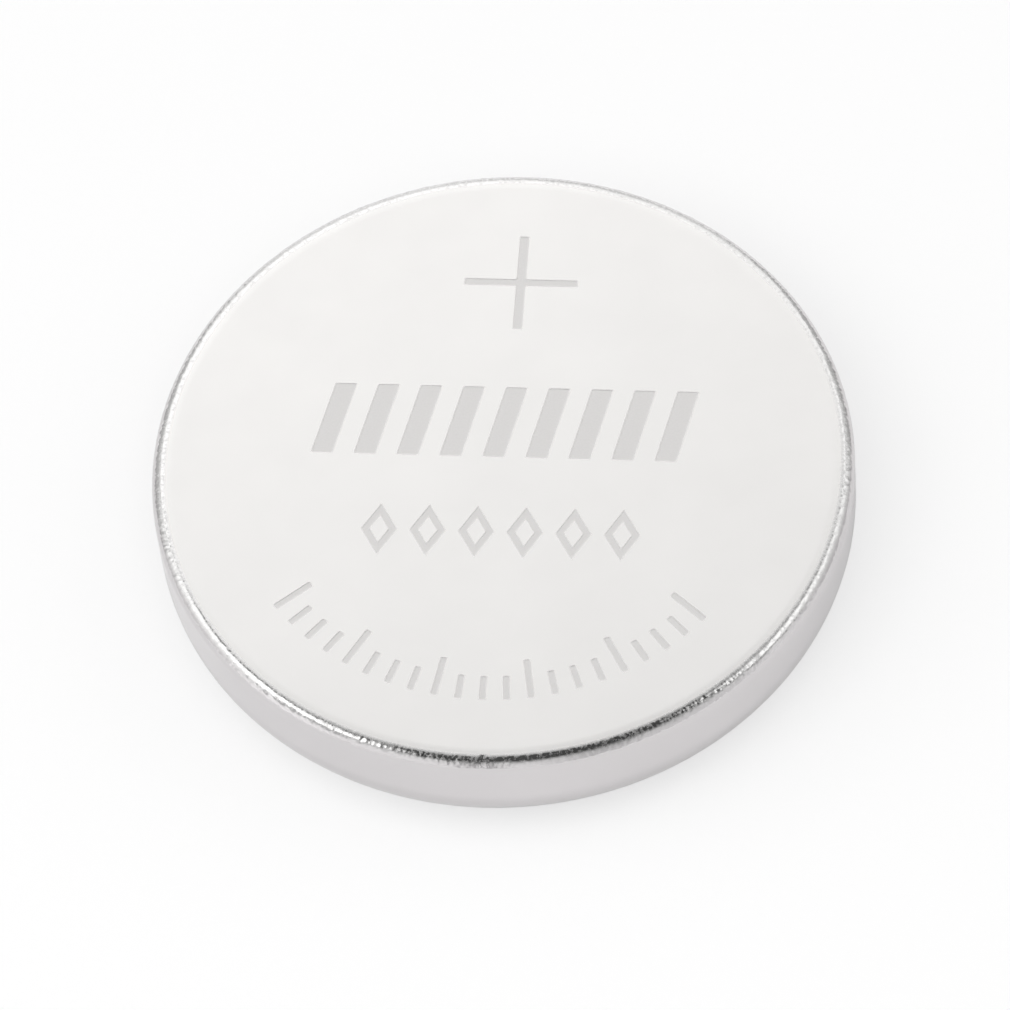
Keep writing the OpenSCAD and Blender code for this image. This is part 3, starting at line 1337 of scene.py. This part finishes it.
@dataclass(frozen=True)
class WhiteTent:
    """The white tent round the cell, with a dark opening overhead for the camera.

    Each stop gives the angle from the zenith, in degrees, and the brightness there. The shares
    read the direction's parts, from -1 to 1: aside to the camera's right and toward the camera.
    """

    light: float = 0.46  # brightness of the tent for the light that it gives
    # The tent as metal shows it, behind the cell
    rear: tuple[Point, ...] = (
        (20, 0.17), (28, 0.35), (34, 0.68), (38, 0.90), (44, 0.88),
        (53, 0.78), (56, 0.92), (60, 0.63), (72, 0.58), (92, 0.52),
    )
    # The tent as metal shows it, at the sides
    beside: tuple[Point, ...] = (
        (20, 0.98), (32, 1.04), (38, 0.98), (46, 0.74), (56, 0.61), (92, 0.58),
    )
    # The tent as metal shows it, at the sides and nearer to the camera
    around: tuple[Point, ...] = (
        (20, 1.00), (32, 1.08), (36, 1.04), (42, 0.30), (57, 0.32), (65, 0.80), (92, 0.88),
    )
    # The tent as metal shows it, under the camera
    front: tuple[Point, ...] = (
        (22, 0.07), (31, 0.21), (43, 0.44), (52, 0.60), (61, 0.69), (72, 0.73), (94, 0.70),
    )
    peak: float = 1.26  # brightness that a stop of 1 stands for
    dark: float = 0.045  # brightness of the opening
    # Distance from the zenith at which the opening ends and the tent is whole
    opening: Point = (0.34, 0.43)
    stretch: float = 1.5  # how much narrower the opening is across than it is from front to rear
    offset: Point = (-0.02, -0.035)  # how far the whole look is moved aside and to the rear
    # Distance aside at which the front look is whole and has faded out
    strip: Point = (0.32, 0.48)
    strip_aside: float = 0.07  # part aside of the middle of the front look
    # Parts toward the camera at which the front look starts and is whole
    toward: Point = (-0.05, 0.1)
    # Parts toward the camera at which the look beside gives way to that around
    nearer: Point = (0.04, 0.18)
    # Parts away from the camera at which the rear look starts and is whole
    away: Point = (0.15, 0.45)
    # Brightness of the left and of the right half against their mean
    lateral: Point = (1.24, 0.93)
    lateral_reach: float = 0.15  # part aside at which each half is whole
    panel: Point = (0.08, 0.3)  # distance aside at which the rear look is whole and has dimmed
    # Share of the brightness beside the panel, on the left and on the right
    beside_panel: Point = (0.88, 1.06)
    # Distance aside at which the dimmer corners behind start and are whole
    flank: Point = (0.36, 0.46)
    # Parts away from the camera at which those corners start and are whole
    flank_away: Point = (0.41, 0.50)
    flank_light: float = 0.64  # share of the brightness in those corners
    # Part toward the camera at which the front look starts to widen, and its rate
    widening: Point = (0.15, 1.2)
    # Distance from the middle of the dark bars at which they thin out and end
    bar: Point = (0.045, 0.08)
    bar_aside: float = 0.26  # part aside of the middle of the two bars beside the opening
    bar_end: Point = (0.47, 0.52)  # parts away from the camera at which the bars thin out and end
    # Share of the brightness that is left on the left and on the right bar
    bar_light: Point = (0.27, 0.68)

    def build(self, front: float) -> None:
        """Makes the tent the world of the scene.

        Args:
            front: Azimuth of the camera, in degrees.
        """
        tree = ShaderTree.new("white_tent", world=True)
        bpy.context.scene.world = tree.material
        placed = {
            "Vector": tree.add("ShaderNodeTexCoord").outputs["Generated"],
            "Rotation": (0, 0, -math.radians(front)),
            "Location": (self.offset[0], -self.offset[1], 0),
        }
        turned = tree.add("ShaderNodeMapping", placed).outputs[0]
        unit = tree.add("ShaderNodeVectorMath", {0: turned}, operation="NORMALIZE").outputs[0]
        look = self.look(tree, unit)
        camera, mirrored = tree.seen()
        bright = tree.mix_values(mirrored, self.light, look)
        bright = tree.mix_values(camera, bright, 1.0)
        white = tree.add("ShaderNodeBackground", {"Color": WHITE, "Strength": bright})
        tree.add("ShaderNodeOutputWorld", {"Surface": white.outputs[0]})

    def look(self, tree: ShaderTree, unit: Socket) -> Socket:
        """Gives the brightness of the tent as metal shows it.

        Args:
            tree: The nodes of the world.
            unit: The direction that is looked in, of length 1, with +Y away from the camera.

        Returns:
            The brightness.
        """
        aside, ahead, above = tree.add("ShaderNodeSeparateXYZ", {0: unit}).outputs
        back = tree.product(ahead, -1.0)
        off_axis = tree.math("ABSOLUTE", aside)
        half = tree.ramp(aside, -self.lateral_reach, self.lateral_reach)
        zenith = tree.math("DIVIDE", tree.math("ARCCOSINE", above), math.pi)
        rear, beside, around, front = (
            tree.steps(zenith, [(angle / 180, light) for angle, light in stops])
            for stops in (self.rear, self.beside, self.around, self.front)
        )

        # The rear look, with a panel in its middle and dimmer corners
        off_panel = tree.ramp(off_axis, *self.panel)
        panel = tree.mix_values(off_panel, 1.0, tree.mix_values(half, *self.beside_panel))
        corner = tree.product(tree.ramp(off_axis, *self.flank), tree.ramp(ahead, *self.flank_away))
        rear = tree.product(rear, panel, tree.mix_values(corner, 1.0, self.flank_light))

        # The front look, which widens toward the camera
        aslant = tree.math("ABSOLUTE", tree.math("SUBTRACT", aside, self.strip_aside))
        beyond = tree.math("MAXIMUM", tree.math("SUBTRACT", back, self.widening[0]), 0.0)
        aslant = tree.math("SUBTRACT", aslant, tree.product(beyond, self.widening[1]))
        under = tree.product(tree.ramp(aslant, *self.strip[::-1]), tree.ramp(back, *self.toward))

        shown = tree.mix_values(tree.ramp(back, *self.nearer), beside, around)
        shown = tree.mix_values(tree.ramp(ahead, *self.away), shown, rear)
        shown = tree.mix_values(under, shown, front)

        # The opening and the two dark bars beside it
        reach = tree.polar(tree.stretched(unit, (self.stretch, 1, 1)))[0]
        shown = tree.product(shown, tree.ramp(reach, *self.opening))
        shown = tree.math("MAXIMUM", shown, self.dark)
        off_bar = tree.math("ABSOLUTE", tree.math("SUBTRACT", off_axis, self.bar_aside))
        bars = tree.product(
            tree.ramp(off_bar, *self.bar[::-1]), tree.ramp(ahead, *self.bar_end[::-1])
        )
        kept = tree.mix_values(bars, 1.0, tree.mix_values(half, *self.bar_light))
        return tree.product(shown, kept, tree.mix_values(half, *self.lateral), self.peak)


@dataclass
class Studio:
    """Floor, white tent, soft lamps and camera."""

    view: Viewpoint = field(default_factory=Viewpoint)
    tent: WhiteTent = field(default_factory=WhiteTent)
    floor: PaleFloor = field(default_factory=PaleFloor)
    lamps: tuple[Softbox, ...] = (
        Softbox("top_softbox", -25, 66, 0.30, (0.28, 0.28), 2.0),
        Softbox("left_softbox", -85, 40, 0.30, (0.26, 0.24), 1.0),
        Softbox("right_softbox", 85, 40, 0.30, (0.26, 0.24), 0.55),
    )

    def build(self) -> None:
        """Sets up the whole studio."""
        bpy.context.scene.view_settings.view_transform = "Standard"
        self.tent.build(self.view.azimuth)
        self.floor.build()
        for lamp in self.lamps:
            lamp.build(self.view.azimuth)
        self.view.build()


def main() -> None:
    """Builds the cell and its studio, and reports each piece."""
    Studio().build()
    pieces = [PositiveCan().build(), NegativeCap().build(), SealingGasket().build()]
    pieces += ElectrodeStack().dress()
    for piece in pieces:
        piece.data.calc_loop_triangles()
        log.info("%s: %d triangles", piece.name, len(piece.data.loop_triangles))


if __name__ == "__main__":
    main()
